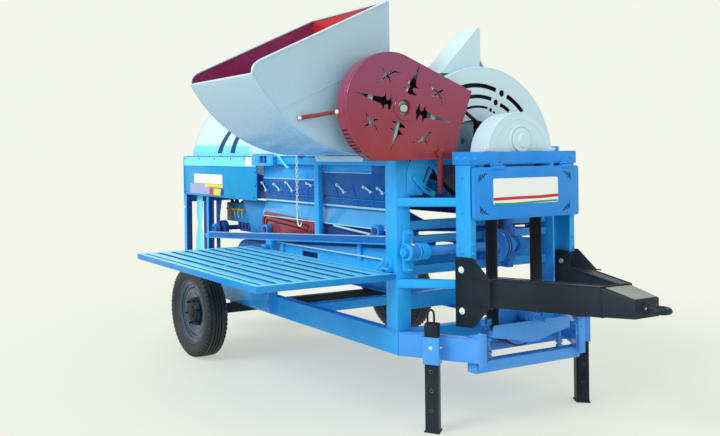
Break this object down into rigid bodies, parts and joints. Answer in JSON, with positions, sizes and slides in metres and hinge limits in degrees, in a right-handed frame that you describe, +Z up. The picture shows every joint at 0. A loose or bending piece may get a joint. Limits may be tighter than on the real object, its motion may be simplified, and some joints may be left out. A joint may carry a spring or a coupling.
{
  "type": "multicrop thresher",
  "caption": "Towed multicrop threshing machine with feed hopper, drum under a half-round cover, folding platform, belt drive, two wheels and two support legs.",
  "frame": {"origin": "centre of the whole machine's box, on the ground it stands on", "axes": "+X forward towards the hitch eye, +Y to the far side away from the hopper, +Z up"},
  "size_m": [4.533, 2.9571, 2.69],
  "materials": {
    "body_blue": "gloss enamel",
    "sheet_blue": "gloss enamel on sheet",
    "hopper_paint": "gloss enamel",
    "guard_red": "gloss enamel",
    "hood_white": "gloss enamel",
    "steel": "machined",
    "black_paint": "gloss black enamel",
    "cast_iron": "painted casting",
    "dark_steel": "worn dark paint",
    "tyre": "matt rubber",
    "wheel_paint": "silver-blue enamel",
    "belt": "matt rubber"
  },
  "bodies": {
    "frame": {"chassis_frame": "body_blue", "support_sleeve_near": "body_blue", "support_sleeve_far": "body_blue", "axle_beam": "body_blue", "body_frame": "body_blue", "top_deck": "sheet_blue", "portal_frame": "body_blue", "bearing_shelf": "body_blue", "drawbar": "black_paint", "lower_struts": "body_blue", "hitch_eye": "black_paint", "drum_cover": "hood_white", "front_end_plate": "hood_white", "rear_end_plate": "hood_white", "outlet_hood": "hood_white", "feed_hopper": "hopper_paint", "near_rear_panel": "sheet_blue", "far_side_panel": "sheet_blue", "rear_panel": "sheet_blue", "concave": "sheet_blue", "grain_slopes": "sheet_blue", "sieve_shoe": "body_blue", "fan_housing": "dark_steel", "lower_belt_guard": "guard_red", "rail_bearings": "cast_iron", "counter_bearings": "cast_iron", "drum_bearing_front": "cast_iron", "drum_bearing_rear": "cast_iron", "input_bearings": "cast_iron", "tension_frame": "body_blue", "main_belt": "belt", "feed_belt": "belt", "feed_bearings": "cast_iron", "feed_guard": "guard_red", "guard_post": "guard_red", "guard_tie": "guard_red", "pulley_hood": "hood_white", "adjusting_arm": "body_blue", "platform_hinges": "body_blue"},
    "wheel_near": {"tyre_near": "tyre", "rim_near": "wheel_paint"},
    "wheel_far": {"tyre_far": "tyre", "rim_far": "wheel_paint"},
    "leg_near": {"support_leg_near": "black_paint"},
    "leg_far": {"support_leg_far": "black_paint"},
    "door": {"belt_door": "sheet_blue"},
    "step_platform": {"platform": "body_blue"},
    "drum": {"drum_shaft": "steel", "threshing_drum": "dark_steel", "main_pulley": "cast_iron"},
    "power_input": {"input_shaft": "steel"},
    "counter": {"counter_shaft": "steel"},
    "feeder": {"feed_roller": "dark_steel"},
    "fan": {"fan_shaft": "steel"},
    "shaker": {"shaker_shaft": "steel"},
    "auger": {"auger_shaft": "steel"}
  },
  "joints": [
    {"name": "wheel_near_roll", "type": "hinge", "parent": "frame", "child": "wheel_near", "pos_m": [-1.2365, -0.7855, 0.38], "axis": [0, 1, 0], "continuous": true},
    {"name": "wheel_far_roll", "type": "hinge", "parent": "frame", "child": "wheel_far", "pos_m": [-1.2365, 1.3785, 0.38], "axis": [0, 1, 0], "continuous": true},
    {"name": "leg_near_lift", "type": "slide", "parent": "frame", "child": "leg_near", "axis": [0, 0, 1], "range_m": [0, 0.3]},
    {"name": "leg_far_lift", "type": "slide", "parent": "frame", "child": "leg_far", "axis": [0, 0, 1], "range_m": [0, 0.3]},
    {"name": "door_swing", "type": "hinge", "parent": "frame", "child": "door", "pos_m": [1.3135, 0.2965, 1.634], "axis": [0, -1, 0], "range_deg": [0, 100]},
    {"name": "platform_fold", "type": "hinge", "parent": "frame", "child": "step_platform", "pos_m": [0.0335, -0.4935, 0.972], "axis": [-1, 0, 0], "range_deg": [0, 52]},
    {"name": "drum_spin", "type": "hinge", "parent": "frame", "child": "drum", "pos_m": [-0.2365, 0.2965, 1.75], "axis": [1, 0, 0], "continuous": true},
    {"name": "input_spin", "type": "hinge", "parent": "frame", "child": "power_input", "pos_m": [1.2035, 0.2965, 0.67], "axis": [1, 0, 0], "continuous": true},
    {"name": "counter_spin", "type": "hinge", "parent": "frame", "child": "counter", "pos_m": [1.0185, 0.0965, 1.088], "axis": [0, 1, 0], "continuous": true},
    {"name": "feed_spin", "type": "hinge", "parent": "frame", "child": "feeder", "pos_m": [0.4635, -0.4635, 1.99], "axis": [1, 0, 0], "continuous": true},
    {"name": "fan_spin", "type": "hinge", "parent": "frame", "child": "fan", "pos_m": [-1.6065, 0.2965, 1.03737], "axis": [0, 1, 0], "continuous": true},
    {"name": "shaker_spin", "type": "hinge", "parent": "frame", "child": "shaker", "pos_m": [-0.6915, 0.2965, 1.10059], "axis": [0, 1, 0], "continuous": true},
    {"name": "auger_spin", "type": "hinge", "parent": "frame", "child": "auger", "pos_m": [0.7285, 0.2965, 1.19871], "axis": [0, 1, 0], "continuous": true}
  ],
  "couplings": [
    {"joint": "input_spin", "follows": "drum_spin", "ratio": 1},
    {"joint": "feed_spin", "follows": "drum_spin", "ratio": 0.22545}
  ]
}
